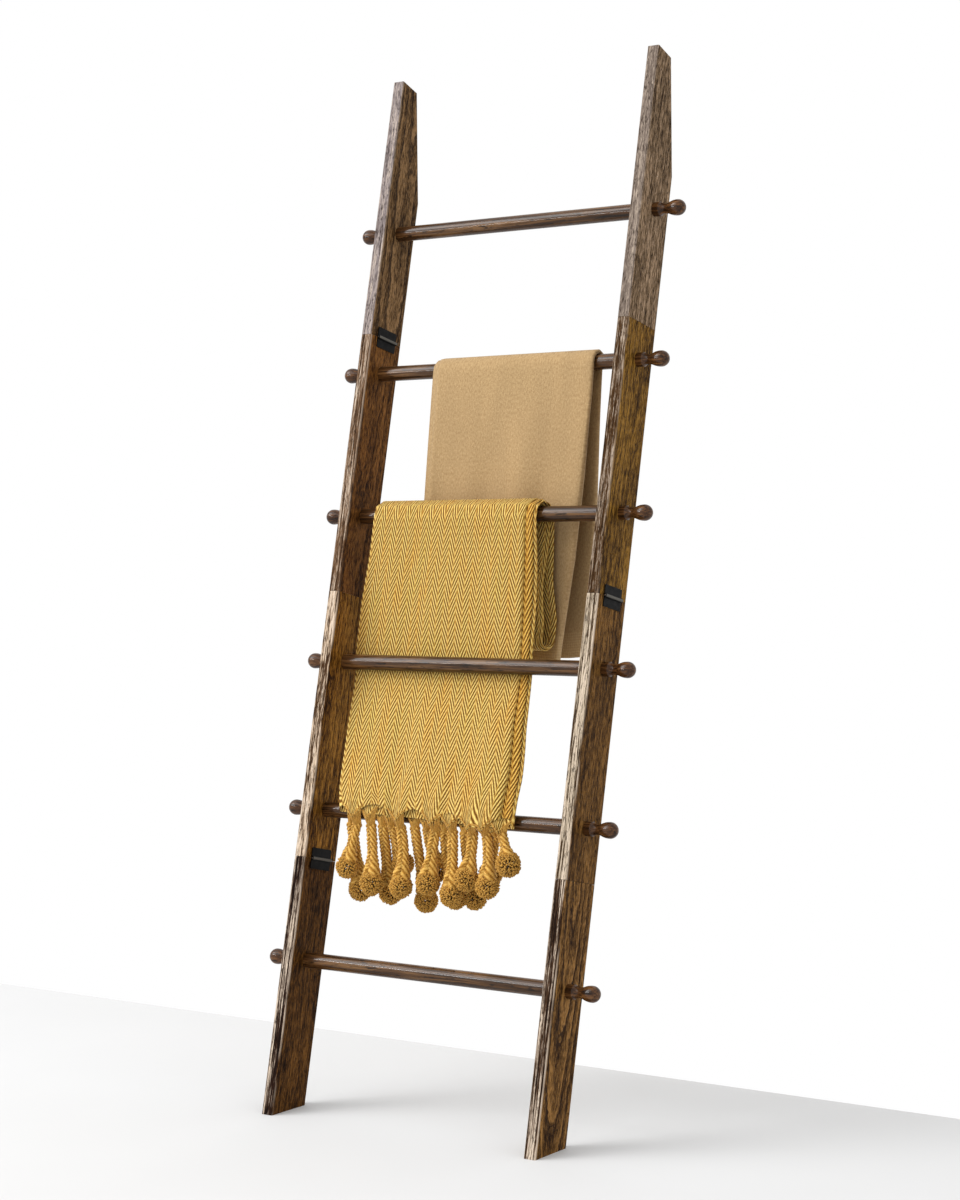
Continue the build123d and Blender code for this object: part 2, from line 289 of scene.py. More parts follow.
def board_wood(name, pith, slope, wide, narrow, wear_and_highlight, dash, figure, seed):
    """Stained and wire-brushed softwood. Growth rings round a slanting pith line make the
    arches on the wide faces, as strong as the figure value; fibres and pores run along the
    board. The narrow faces take their own colour, partly the wood's tone and partly painted
    sheen and shade, and pale ridges that are partly wear and partly painted highlights,
    which are dashes where the dash value is high. The front corners are painted pale in
    patches, partly as rubbed wear and partly as a painted highlight."""
    graph = Graph(name, Specular_IOR_Level=0.06)
    grain = along_stile(graph)
    shifted = graph.vector("ADD", grain, (seed * 0.37, seed * 0.21, seed * 0.53))
    rings = growth_rings(graph, grain, shifted, pith, slope)
    fibre = graph.noise(graph.place(shifted, scale=(560, 560, 75)), 1.0, 4.0, 0.75)
    coarse = graph.noise(graph.place(shifted, scale=(120, 120, 9)), 1.0, 3.0, 0.6)
    patch = graph.noise(graph.place(shifted, scale=(26, 26, 8)), 1.0, 3.0, 0.6)
    pores = graph.noise(graph.place(shifted, scale=(600, 600, 110)), 1.0, 3.0, 0.6)
    dark, light = scaled(wide, 0.12, 0.08, 0.04), scaled(wide, 2.5, 2.7, 3.3)
    shade = total(graph, (fibre, 2.9), (coarse, 0.7), (patch, 1.0), (rings, 0.6 * figure))
    colour = graph.ramp(shade, (0.12, dark), (0.5, wide), (0.9, light))

    # Each ring ends in a pale line with a dark groove beside it, broken here and there.
    broken = graph.ramp(patch, (0.40, 0.25), (0.56, 1.0))
    line = graph.ramp(rings, (0.70, 0.0), (0.80, 1.0), (0.88, 0.0))
    colour = graph.mix(graph.times(line, broken, 0.9 * figure), colour, light)
    groove = graph.ramp(rings, (0.0, 0.95), (0.10, 0.0), (0.88, 0.0), (0.93, 0.95))
    groove = graph.times(groove, broken, figure)
    colour = graph.mix(groove, colour, dark)

    # The narrow faces are those that do not look along X.
    true_normal = graph.add("ShaderNodeNewGeometry", {}, output=3)
    sideways = graph.math("ABSOLUTE", graph.split(true_normal, 0))
    facing = graph.math("SUBTRACT", 1.0, sideways)
    ridges = graph.noise(graph.place(shifted, scale=(400, 400, dash)), 1.0, 3.0, 0.65)
    # Painted sheen and highlight: the narrow faces take their own colour, partly the wood's tone and
    # partly painted sheen and shade, and their ridges are painted pale, partly as wear and partly as
    # highlights.
    pale_wear_and_highlight = paint(232, 212, 190)
    worn_and_sheen = total(graph, (ridges, 4.4 * wear_and_highlight), (fibre, 1.2), (patch, 1.0 * wear_and_highlight))
    worn_and_sheen = graph.ramp(worn_and_sheen, (0.12, scaled(narrow, 0.10, 0.06, 0.03)), (0.48, narrow), (1.0, pale_wear_and_highlight))
    colour = graph.mix(facing, colour, worn_and_sheen)

    # Dark pores are brushed open on every face.
    pits = graph.ramp(pores, (0.57, 0.0), (0.65, 0.8))
    colour = graph.mix(pits, colour, scaled(dark, 0.7, 0.7, 0.7))

    # The rounded corners and the front of the wide faces are painted pale, in patches, partly
    # as rubbed wear and partly as a painted highlight.
    corner = graph.ramp(sideways, (0.05, 0.0), (0.3, 1.0), (0.85, 1.0), (0.99, 0.0))
    rub = graph.fade(graph.split(grain, 1), RUB_AND_HIGHLIGHT_AT, RUB_AND_HIGHLIGHT_TO, 1.0, 0.0)
    rub_and_highlight_patch = graph.ramp(patch, (0.42, 0.0), (0.56, 1.0))
    off_narrow = graph.ramp(facing, (0.6, 1.0), (0.9, 0.0))
    rub = graph.times(graph.math("MAXIMUM", rub, corner), rub_and_highlight_patch, off_narrow, wear_and_highlight)
    colour = graph.mix(rub, colour, pale_wear_and_highlight)

    relief = graph.math("MULTIPLY_ADD", groove, -0.8, graph.math("ADD", fibre, coarse))
    relief = graph.math("MULTIPLY_ADD", pits, -0.5, relief)
    relief = graph.math("MULTIPLY_ADD", graph.times(ridges, facing), 2 * wear_and_highlight, relief)
    graph.bump(relief, 0.0015, 0.9)
    return graph.finish(colour, graph.ramp(fibre, (0.3, 0.75), (0.7, 0.5)))


def turned_wood(name):
    """Dark varnished wood of the rungs and pegs, with fibres along X and redder ends."""
    graph = Graph(name, Coat_Weight=0.4, Coat_Roughness=0.10, Specular_IOR_Level=0.08)
    spot = object_position(graph)
    fibre = graph.noise(graph.place(spot, scale=(10, 300, 300)), 1.0, 4.0, 0.65)
    band = graph.noise(graph.place(spot, scale=(3.5, 110, 110)), 1.0, 3.0, 0.6)
    pores = graph.noise(graph.place(spot, scale=(50, 380, 380)), 1.0, 3.0, 0.6)
    shade = total(graph, (fibre, 1.5), (band, 1.0))
    dark, middle, light = paint(24, 12, 3), paint(74, 48, 24), paint(132, 96, 58)
    colour = graph.ramp(shade, (0.12, dark), (0.5, middle), (0.9, light))
    colour = graph.mix(graph.ramp(pores, (0.56, 0.0), (0.64, 0.85)), colour, paint(18, 10, 4))
    from_centre = graph.math("ABSOLUTE", graph.split(spot, 0))
    redness = graph.fade(from_centre, 0.14, STILE_OUTER + 0.004, 0.0, 0.35)
    colour = graph.mix(redness, colour, graph.mix(1.0, colour, (1.2, 0.85, 0.6, 1), "MULTIPLY"))
    graph.bump(graph.math("ADD", fibre, band), 0.0007, 0.8)
    return graph.finish(colour, graph.ramp(fibre, (0.3, 0.5), (0.7, 0.3)))


def black_iron(name):
    """Painted black hinge metal, a little uneven, with a painted highlight, a pale bare-metal line,
    along the knuckles' crests.
    """
    graph = Graph(name, Specular_IOR_Level=0.08)
    spot = object_position(graph)
    speck = graph.noise(spot, 900.0, 3.0, 0.6)
    rub = graph.noise(spot, 120.0, 4.0, 0.7)
    colour = graph.ramp(rub, (0.35, paint(3, 3, 3)), (0.6, paint(10, 9, 8)), (0.85, paint(40, 37, 32)))
    # Painted highlight: a pale line along the knuckles' crests, where they would catch the light.
    from_centre = graph.math("ABSOLUTE", graph.split(spot, 0))
    from_stile = graph.math("SUBTRACT", from_centre, (STILE_INNER + STILE_OUTER) / 2)
    half_stile = (STILE_OUTER - STILE_INNER) / 2
    crest_low, crest_high = half_stile + 0.004, half_stile + 0.005
    painted_crest_highlight = graph.fade(graph.math("ABSOLUTE", from_stile), crest_low, crest_high, 0.0, 0.7)
    colour = graph.mix(painted_crest_highlight, colour, paint(120, 116, 108))
    graph.bump(speck, 0.0002, 0.6)
    return graph.finish(colour, graph.ramp(rub, (0.3, 0.55), (0.75, 0.32)))


def bright_metal(name, low, high, direction):
    """Turned or drawn metal with fine tool lines across its direction."""
    graph = Graph(name, Metallic=1.0)
    spot = object_position(graph)
    lines = graph.noise(graph.place(spot, scale=direction), 1.0, 2.0, 0.5)
    colour = graph.ramp(lines, (0.35, low), (0.65, high))
    graph.bump(lines, 0.0001, 0.5)
    return graph.finish(colour, graph.ramp(lines, (0.3, 0.42), (0.7, 0.25)))


def add_floor():
    """A pale floor that ends a little behind the ladder."""
    reach = 6
    end = cad_box[1][1] + 0.13
    mesh = bpy.data.meshes.new("floor")
    corners = [(-reach, -reach, 0), (reach, -reach, 0), (reach, end, 0), (-reach, end, 0)]
    mesh.from_pydata(corners, [], [(0, 1, 2, 3)])
    floor = bpy.data.objects.new("floor", mesh)
    bpy.context.scene.collection.objects.link(floor)
    graph = Graph("floor", Roughness=0.85)
    mottle = graph.noise(object_position(graph), 3.0)
    mesh.materials.append(graph.finish(graph.ramp(mottle, (0.3, 0.61), (0.7, 0.62))))


add_floor()

# Each board: where its pith would meet the floor line and how it slants as it goes up, both
# as X and Y; the colours of its wide and narrow faces, the narrow one partly painted sheen
# and shade; how worn the narrow faces and front corners are, which also sets how strongly
# their painted highlights show; how broken their ridges are; how strong its arches are; and
# a number that sets its own pattern.
BOARD_LOOKS = {
    "left_top_board": ((-0.315, 0.004), (0.062, 0),
        paint(106, 78, 46), paint(151, 139, 137), 0.3, 12, 0.8, 1),
    "left_upper_board": ((-0.296, -0.010), (0.062, 0),
        paint(99, 62, 24), paint(117, 87, 61), 0.5, 14, 0.55, 2),
    "left_lower_board": ((-0.260, -0.026), (0.057, 0),
        paint(120, 80, 26), paint(212, 185, 156), 1.1, 26, 0.5, 3),
    "left_foot_board": ((-0.220, -0.110), (0.01, 0),
        paint(85, 53, 17), paint(60, 33, 15), 0.85, 10, 0.3, 4),
    "right_top_board": ((0.225, -0.120), (0.02, 0),
        paint(127, 102, 74), paint(128, 113, 102), 0.15, 8, 0.3, 5),
    "right_upper_board": ((0.270, 0.028), (-0.062, 0),
        paint(112, 78, 26), paint(82, 55, 26), 0.3, 12, 0.5, 6),
    "right_lower_board": ((0.260, 0.070), (0.02, 0),
        paint(103, 70, 30), paint(202, 184, 159), 1.0, 12, 0.35, 7),
    "right_foot_board": ((0.191, -0.008), (0.095, 0),
        paint(114, 79, 37), paint(85, 59, 38), 0.95, 7, 1, 8),
}


def repaint(node_name, material):
    """Gives a carried-over part its material."""
    mesh = nodes[node_name].data
    mesh.materials.clear()
    mesh.materials.append(material)


def paint_ladder():
    """Gives every part of the ladder its wood or metal."""
    for name, look in BOARD_LOOKS.items():
        repaint(name, board_wood(name.replace("_board", "_wood"), *look))
    rung_wood = turned_wood("rung_wood")
    iron = black_iron("black_iron")
    stud_steel = bright_metal("stud_steel", paint(120, 120, 124), paint(178, 178, 182), (1400, 30, 30))
    pin_steel = bright_metal("pin_steel", paint(150, 150, 152), paint(205, 205, 208), (30, 900, 30))
    brass = bright_metal("brass", paint(170, 130, 60), paint(214, 176, 96), (1200, 40, 40))
    for name in nodes:
        if name.startswith("rung_") and name != "rung_inserts" or "_peg_" in name:
            repaint(name, rung_wood)
        elif "_stud_" in name:
            repaint(name, stud_steel)
        elif name.endswith("_leaf") or name == "hinge_screws":
            repaint(name, iron)
    repaint("rung_inserts", brass)
    repaint("hinge_pins", pin_steel)


paint_ladder()

# ---- Cloth and yarn materials ----

def flat_place(graph):
    """A point's place on the flat cloth, in metres, or round and along a yarn, as its UV."""
    return graph.add("ShaderNodeUVMap", {}, uv_map="cloth")


def herringbone(name):
    """Thick ribs that zigzag across the cloth in columns, painted light on top as a highlight and
    painted dark between them as shade.
    """
    column_width = 0.0113
    rise = 2.4
    rib_pitch = 0.0104
    yarn_pitch = 0.00208
    wander_reach = 0.003
    graph = Graph(name, Roughness=0.85, Specular_IOR_Level=0.06, Sheen_Weight=0.08,
                  Sheen_Roughness=0.5)
    spot = flat_place(graph)
    wander = graph.noise(spot, 24.0, 2.0)
    flat_across, along = graph.split(spot, 0), graph.split(spot, 1)
    across = graph.math("MULTIPLY_ADD", wander, wander_reach, flat_across)
    zigzag = graph.math("PINGPONG", across, column_width)
    slant = graph.math("MULTIPLY", zigzag, rise)
    turn = graph.math("MULTIPLY", graph.math("ADD", along, slant), FULL_TURN / rib_pitch)
    from_middle = graph.math("ABSOLUTE", graph.math("SUBTRACT", zigzag, column_width / 2))

    # The ribs are shallower where they turn back, at the sides of a column.
    swing = graph.fade(from_middle, column_width * 0.3, column_width * 0.5, 0.60, 0.14)
    rib = graph.math("MULTIPLY_ADD", graph.math("SINE", turn), swing, 0.5)
    yarn = graph.math("SINE", graph.math("MULTIPLY", across, FULL_TURN / yarn_pitch))
    fuzz = graph.noise(spot, 620.0, 2.0)
    height = graph.math("MULTIPLY_ADD", yarn, 0.10, rib)
    height = graph.math("MULTIPLY_ADD", fuzz, 0.5, graph.math("SUBTRACT", height, 0.25))
    # Painted highlight and shade: the colour follows the ribs' height, the yarn's own mustard in the
    # middle, pale on the crests and dark in the hollows.
    dark, middle, light = paint(112, 70, 14), paint(200, 154, 71), paint(252, 219, 130)
    colour = graph.ramp(height, (0.05, dark), (0.45, middle), (1.0, light))
    streaks = graph.noise(graph.place(spot, scale=(50, 10, 1)), 1.0, 3.0)
    redder, plain, paler = (1.02, 0.92, 0.76, 1), (1, 1, 1, 1), (0.97, 1.0, 0.94, 1)
    tint = graph.ramp(streaks, (0.32, redder), (0.5, plain), (0.68, paler))
    colour = graph.mix(1.0, colour, tint, "MULTIPLY")

    # Painted shade and bounced light: the weave is painted deeper and redder beside one selvedge, where
    # the stepped folded edge lies in shade.
    painted_edge_shade = graph.fade(flat_across, 0.016, 0.024, 1.0, 0.0)
    colour = graph.mix(painted_edge_shade, colour, graph.mix(1.0, colour, (0.96, 0.84, 0.6, 1), "MULTIPLY"))
    graph.bump(height, 0.0013, 0.9)
    return graph.finish(colour)


def brushed_blanket(name, cloth_length):
    """A soft brushed weave with a heathered surface and a finely checked band at each hem."""
    check_pitch = 0.0036
    band_width = 0.035
    graph = Graph(name, Roughness=0.9, Specular_IOR_Level=0.08, Sheen_Weight=0.12, Sheen_Roughness=0.45)
    spot = flat_place(graph)
    nap = graph.noise(spot, 620.0, 3.0, 0.6)
    heather = graph.noise(graph.place(spot, scale=(420, 240, 1)), 1.0, 3.0, 0.6)
    cloud = graph.noise(graph.place(spot, scale=(30, 8, 1)), 1.0, 2.0)
    colour = graph.ramp(heather, (0.3, paint(168, 137, 96)), (0.7, paint(198, 167, 122)))
    colour = graph.mix(0.5, colour, graph.ramp(nap, (0.35, 0.80), (0.65, 1.12)), "MULTIPLY")
    colour = graph.mix(1.0, colour, graph.ramp(cloud, (0.35, 0.95), (0.65, 1.03)), "MULTIPLY")
    waves = []
    for axis in (0, 1):
        turn = graph.math("MULTIPLY", graph.split(spot, axis), FULL_TURN / check_pitch)
        waves.append(graph.math("SINE", turn))
    check = graph.math("MULTIPLY_ADD", graph.math("ADD", *waves), 0.25, 0.5)
    from_end = graph.math("PINGPONG", graph.split(spot, 1), cloth_length / 2)
    band = graph.fade(from_end, band_width - 0.001, band_width + 0.001, 1.0, 0.0)
    checked = graph.mix(check, paint(176, 142, 98), paint(218, 188, 142))
    colour = graph.mix(graph.math("MULTIPLY", band, 0.45), colour, checked)
    relief = graph.math("ADD", nap, graph.times(check, band, 0.6))
    graph.bump(graph.math("ADD", relief, heather), 0.0006, 0.6)
    return graph.finish(colour)


def spun_yarn(name):
    """Mustard yarn: its colour follows its relief, pale on its plies and painted dark between
    them as shade, and painted darker as shade where the mesh's tip value is low, at the foot
    of a tuft or between the strands of a plait."""
    ply_count = 5
    twist_rate = 150
    graph = Graph(name, Roughness=0.88, Specular_IOR_Level=0.06, Sheen_Weight=0.1,
                  Sheen_Roughness=0.5)
    spot = flat_place(graph)
    across, along = graph.split(spot, 0), graph.split(spot, 1)
    around = graph.math("MULTIPLY", across, FULL_TURN * ply_count)
    turn = graph.math("ADD", around, graph.math("MULTIPLY", along, twist_rate))
    twist = graph.math("MULTIPLY_ADD", graph.math("SINE", turn), 0.5, 0.5)
    fuzz = graph.noise(object_position(graph), 900.0, 2.0)
    height = graph.math("ADD", graph.math("MULTIPLY", twist, 0.4), graph.math("MULTIPLY", fuzz, 0.7))
    # Painted highlight and shade: the colour follows the yarn's relief, pale on the plies and fuzz tops
    # and dark in the hollows between them.
    dark, middle, light = paint(112, 64, 14), paint(196, 144, 60), paint(246, 204, 116)
    colour = graph.ramp(height, (0.25, dark), (0.5, middle), (0.95, light))
    # Painted shade: the yarn is darkened where the tip value is low, at the foot of a tuft and in the
    # hollows of a plait.
    tip = graph.add("ShaderNodeAttribute", {}, output=2, attribute_name="tip")
    shade = graph.ramp(tip, (0.0, 0.3), (0.5, 0.8), (1.0, 1.12))
    colour = graph.mix(1.0, colour, shade, "MULTIPLY")
    blotch = graph.ramp(graph.noise(object_position(graph), 160.0, 2.0), (0.3, 0.86), (0.7, 1.1))
    colour = graph.mix(1.0, colour, blotch, "MULTIPLY")
    graph.bump(height, 0.0004, 0.7)
    return graph.finish(colour)


# ---- Folded cloth ----

def smooth_step(value, low, high):
    """Goes smoothly from 0 at low to 1 at high, whichever of the two is the larger."""
    share = np.clip((value - low) / (high - low), 0, 1)
    return share * share * (3 - 2 * share)


def hill(value, centre, reach):
    """1 at the centre, falling smoothly to 0 at a reach on either side."""
    return 1 - smooth_step(np.abs(value - centre), 0, reach)


class Path:
    """The side view (y, z) of a cloth's inner surface, from the front hem, over its rung and
    down the back, with its outward direction. It is smoothed except over the rung."""

    STEP = 0.0025
    SMOOTHING_ROUNDS = 120

    def __init__(self, points, rung_z):
        corners = np.array(points)
        runs = np.hypot(*np.diff(corners, axis=0).T)
        along = np.concatenate([[0], np.cumsum(runs)])
        places = np.linspace(0, along[-1], int(along[-1] / self.STEP) + 1)
        line = np.stack([np.interp(places, along, corners[:, axis]) for axis in (0, 1)], axis=1)
        give = 1 - smooth_step(line[1:-1, 1:], rung_z - 0.02, rung_z - 0.004)
        for _ in range(self.SMOOTHING_ROUNDS):
            middle = (line[:-2] + line[2:]) / 2
            line[1:-1] += give * 0.5 * (middle - line[1:-1])
        runs = np.hypot(*np.diff(line, axis=0).T)
        self.along = np.concatenate([[0], np.cumsum(runs)])
        self.line = line
        self.length = self.along[-1]
        self.top = self.along[np.argmax(line[:, 1])]
        run = np.gradient(line, axis=0)
        run /= np.linalg.norm(run, axis=1)[:, None]
        self.outward = np.stack([-run[:, 1], run[:, 0]], axis=1)

    def look_up(self, values, along):
        """The path's points or directions at distances from the front hem."""
        columns = [np.interp(along, self.along, values[:, axis]) for axis in (0, 1)]
        return np.stack(columns, axis=-1)

    def at(self, along, out):
        """Points at distances from the front hem and outward from the path, as y and z."""
        place = np.clip(along, 0, self.length)
        outward = self.look_up(self.outward, place)
        outward /= np.linalg.norm(outward, axis=-1)[..., None]
        run = np.stack([outward[..., 1], -outward[..., 0]], axis=-1)
        past_end = (along - place)[..., None]
        return self.look_up(self.line, place) + run * past_end + outward * out[..., None]


def over_rung(centre, reach):
    """Points on the arc that a cloth takes over a rung, from its front to its back."""
    y, z = centre
    angles = [math.pi * step / 10 for step in range(11)]
    return [(y - reach * math.cos(angle), z + reach * math.sin(angle)) for angle in angles]


def quarter_folded(creased_side, columns, ply_width):
    """The columns of a sheet folded in half twice across its width. Each has its place across
    the panel (0 left, 1 right), its level among the four plies, how far it bulges past the
    panel's edge, in plies, and its place on the flat sheet, in metres."""
    levels = (2.0, 1.0, 0.0, 3.0)
    turn_length = 0.004
    turn_steps = 5
    roundness = 1.3
    across, level, bulge, flat = [], [], [], []
    end = 0.0 if creased_side == "left" else 1.0
    cut = 0.0
    for number, current in enumerate(levels):
        shares = np.linspace(1 - end, end, columns)
        across += list(shares)
        level += [current] * columns
        bulge += [0.0] * columns
        flat += list(cut + ply_width * np.abs(shares - shares[0]))
        cut = flat[-1]
        if number == 3:
            break
        rise = (levels[number + 1] - current) / 2
        for step in range(1, turn_steps + 1):
            angle = math.pi * step / (turn_steps + 1)
            across.append(end)
            level.append(current + rise * (1 - math.cos(angle)))
            bulge.append((2 * end - 1) * abs(rise) * roundness * math.sin(angle))
            flat.append(cut + turn_length * step / (turn_steps + 1))
        cut += turn_length
        end = 1.0 - end
    return [np.array(column) for column in (across, level, bulge, flat)]


def add_object(name, mesh):
    piece = bpy.data.objects.new(name, mesh)
    bpy.context.scene.collection.objects.link(piece)
    return piece


def sheet_piece(name, points, flat_across, flat_along, thickness, material):
    """A sheet of cloth from a grid of points, with its flat place in metres as its UV map."""
    rows, columns = points.shape[:2]
    index = np.arange(rows * columns).reshape(rows, columns)
    corners = [index[:-1, :-1], index[:-1, 1:], index[1:, 1:], index[1:, :-1]]
    faces = np.stack(corners, axis=-1).reshape(-1, 4)
    mesh = bpy.data.meshes.new(name)
    mesh.from_pydata(points.reshape(-1, 3).tolist(), [], faces.tolist())
    flat = np.stack(np.broadcast_arrays(flat_across[None, :], flat_along[:, None]), axis=-1)
    layer = mesh.uv_layers.new(name="cloth")
    layer.data.foreach_set("uv", flat.reshape(-1, 2)[faces.reshape(-1)].reshape(-1))
    mesh.polygons.foreach_set("use_smooth", [True] * len(mesh.polygons))
    mesh.materials.append(material)
    piece = add_object(name, mesh)
    solid = piece.modifiers.new("thickness", "SOLIDIFY")
    solid.thickness = thickness
    solid.offset = 0.0
    return piece


def ripple(across, *waves):
    """Soft vertical folds, from 0 to 1: each wave is its wavelength, phase and share."""
    height = sum(share * (0.5 + 0.5 * np.sin(FULL_TURN * across / length + phase))
                 for length, phase, share in waves)
    return height / sum(share for _, _, share in waves)


def outline(height, *points):
    """An edge's X in metres at each height, through (height, X) points in millimetres."""
    heights, edges = zip(*sorted(points))
    return np.interp(height * 1000, heights, edges) / 1000


# A cloth's inner surface clears its rung by this much.
RUNG_CLEARANCE = 0.0008


# ---- Tan blanket ----

# What a ply adds to the stack, its cloth's thickness and its folded width, and how far the
# blanket hangs in front of the rung and behind it.
BLANKET_PLY = 0.00165
BLANKET_THICKNESS = 0.0014
BLANKET_PANEL = 0.275
BLANKET_FRONT_DROP = 0.415
BLANKET_BACK_DROP = 0.411


def make_blanket():
    """The plain blanket: folded in half twice across, then hung over the second rung."""
    ply = BLANKET_PLY
    y, z = RUNGS[2]
    reach = RUNG_RADIUS + RUNG_CLEARANCE
    front = [(y - reach - 0.005, z - BLANKET_FRONT_DROP), (y - reach - 0.0045, z - 0.2)]
    behind = [(y + reach, z - 0.2), (y + reach, z - BLANKET_BACK_DROP)]
    path = Path(front + over_rung(RUNGS[2], reach) + behind, z)
    across, level, bulge, flat = quarter_folded("right", columns=40, ply_width=BLANKET_PANEL)

    # The rows of the mesh are closer together near the hems.
    even = np.linspace(0, 1, 150)
    along = path.length * (0.5 - 0.5 * np.cos(math.pi * even))
    along = 0.35 * along + 0.65 * np.linspace(0, path.length, 150)
    along, level_grid = np.meshgrid(along, level, indexing="ij")
    across, bulge_grid = across[None, :] + 0 * along, bulge[None, :] + 0 * along

    height = path.look_up(path.line, along)[..., 1]
    back = smooth_step(along, path.top - 0.03, path.top + 0.03)
    front_left = outline(height, (1065, -105), (862, -123), (635, -145))
    back_left = outline(height, (1065, -105), (635, -130))
    front_right = outline(height, (1065, 166), (1010, 162), (955, 155), (886, 147), (774, 131),
                          (662, 110), (634, 105))
    back_right = outline(height, (1065, 166), (1040, 159), (970, 154), (858, 147), (746, 138),
                         (640, 122))
    left = front_left + (back_left - front_left) * back
    right = front_right + (back_right - front_right) * back

    # The outermost ply's free edge stops short of the fold below it, and the plies step.
    left = left + 0.008 * hill(level_grid, 3, 0.6) + 0.002 * hill(level_grid, 2, 0.6)
    x = left + (right - left) * across + bulge_grid * ply

    # Soft vertical folds grow downwards, and the plies spread and curl at their edges.
    drop = z - height
    hang = smooth_step(drop, 0.02, 0.22)
    front_wave = ripple(x + 0.12 * drop, (0.088, 0.4, 1.0), (0.151, 2.2, 0.8), (0.047, 1.0, 0.25))
    back_wave = ripple(x + 0.05 * drop, (0.110, 1.4, 1.0), (0.063, 0.2, 0.4))
    wave = hang * (0.004 * back_wave * back - 0.011 * front_wave * (1 - back))
    fan = 0.25 * hang + 0.35 * smooth_step(drop, 0.30, 0.41)
    curl = 0.0025 * hang * smooth_step(np.abs(across - 0.5), 0.40, 0.5)
    out = ply * (level_grid + 0.5) * (1 + fan) + wave + curl * (level_grid / 3)

    # The hems are a little uneven.
    near_hems = smooth_step(along, 0.1, 0.0) - smooth_step(along, path.length - 0.1, path.length)
    side = path.at(along + 0.004 * np.sin(FULL_TURN * x / 0.16 + 1.0) * near_hems, out)
    points = np.concatenate([x[..., None], side], axis=-1)
    flat_along = along[:, 0]
    material = brushed_blanket("tan_weave", path.length)
    piece = sheet_piece("folded_blanket", points, flat, flat_along, BLANKET_THICKNESS, material)
    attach(piece, "blanket")
    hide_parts("tan_blanket")


# ---- Mustard throw ----

# Each tassel: where its braid leaves the hem and where its pom-pom hangs, both across in
# millimetres, how far the pom-pom is below the fifth rung, its hem, and its ply, from 0 next
# to the throw's other half to 3 farthest from it.
TASSELS = (
    (-142, -157, 76, "front", 3), (-118, -114, 96, "front", 1), (-66, -62, 97, "front", 3),
    (-5, -15, 88, "front", 3), (24, 24, 102, "front", 2), (58, 50, 78, "front", 3),
    (81, 85, 86, "front", 3), (106, 120, 53, "front", 1),
    (-156, -161, 112, "behind", 3), (-100, -108, 114, "behind", 2), (-84, -86, 72, "behind", 0),
    (-44, -45, 120, "behind", 3), (-22, -22, 74, "behind", 1), (8, 6, 112, "behind", 2),
    (42, 39, 110, "behind", 3), (94, 66, 74, "behind", 0),
)
# How far behind the fifth rung's axis, or in front where negative, the pom-poms and the tops
# of the braids are, and how far below it the braids begin.
POMPOM_DEPTH = {"front": -0.024, "behind": 0.012}
BRAID_DEPTH = {"front": -0.0185, "behind": -0.0145}
BRAID_TOP = 0.013
POMPOM_RADIUS = 0.0165

# The throw's plies, as for the blanket, and how far its loose fold opens.
PLIES = 4
THROW_PLY = 0.00135
THROW_THICKNESS = 0.00115
THROW_PANEL = 0.285
THROW_BACK_DROP = 0.175
LOOSE_FOLD = 0.011


def throw_path():
    """In front of the fifth rung, behind the fourth, over the third and down its back."""
    y, z = RUNGS[3]
    fourth_y, fourth_z = RUNGS[4]
    fifth_y, fifth_z = RUNGS[5]
    reach = RUNG_RADIUS + RUNG_CLEARANCE
    pack = 2 * PLIES * THROW_PLY
    past_fourth = fourth_y + reach + pack
    front = [(fifth_y - reach, fifth_z - 0.001), (fifth_y - reach, fifth_z + 0.010),
             (past_fourth + 0.0005, fourth_z - 0.008), (past_fourth + 0.001, fourth_z + 0.010),
             (y - reach - 0.001, z - 0.05)]
    behind = [(y + reach, z - 0.1), (y + reach, z - THROW_BACK_DROP)]
    return Path(front + over_rung(RUNGS[3], reach) + behind, z)


def throw_rows(path):
    """Along the path from the front hem, round the fold at the back's foot, and back again:
    each row's place along the path and its turn, from 0 in the outer plies to pi inside."""
    hem = list(np.linspace(0, 0.04, 17)[:-1])
    run = list(np.linspace(0.04, path.length, 64))
    down = hem + run
    turns = [math.pi * step / 9 for step in range(1, 9)]
    along = down + [path.length] * len(turns) + down[::-1]
    turn = [0.0] * len(down) + turns + [math.pi] * len(down)
    return np.array(along), np.array(turn)


def throw_edges(height, back, level, inner):
    """Each ply's left and right edges at its height, and the right edge before the plies step
    back from it. Inner is 0 in the outer four plies and 1 in the four next to the rung."""
    front_left = outline(height, (839, -175), (775, -183), (717, -193), (640, -202), (540, -188),
                         (461, -174), (417, -166))
    front_right = outline(height, (830, 103), (642, 102), (597, 106), (540, 112), (476, 124),
                          (417, 126))
    back_left = -0.172
    back_right = outline(height, (850, 106), (825, 108), (747, 106), (690, 112), (648, 106))
    left = front_left + (back_left - front_left) * back
    edge = front_right + (back_right - front_right) * back
    outer_step = (0.016 * hill(level, 3, 0.6) + 0.003 * hill(level, 2, 0.6)) * (1 - 0.8 * back)
    inner_step = 0.005 + 0.008 * hill(level, 2, 0.6) + 0.003 * hill(level, 3, 0.6)
    return left + 0.003 * inner, edge - outer_step * (1 - inner) - inner_step * inner, edge


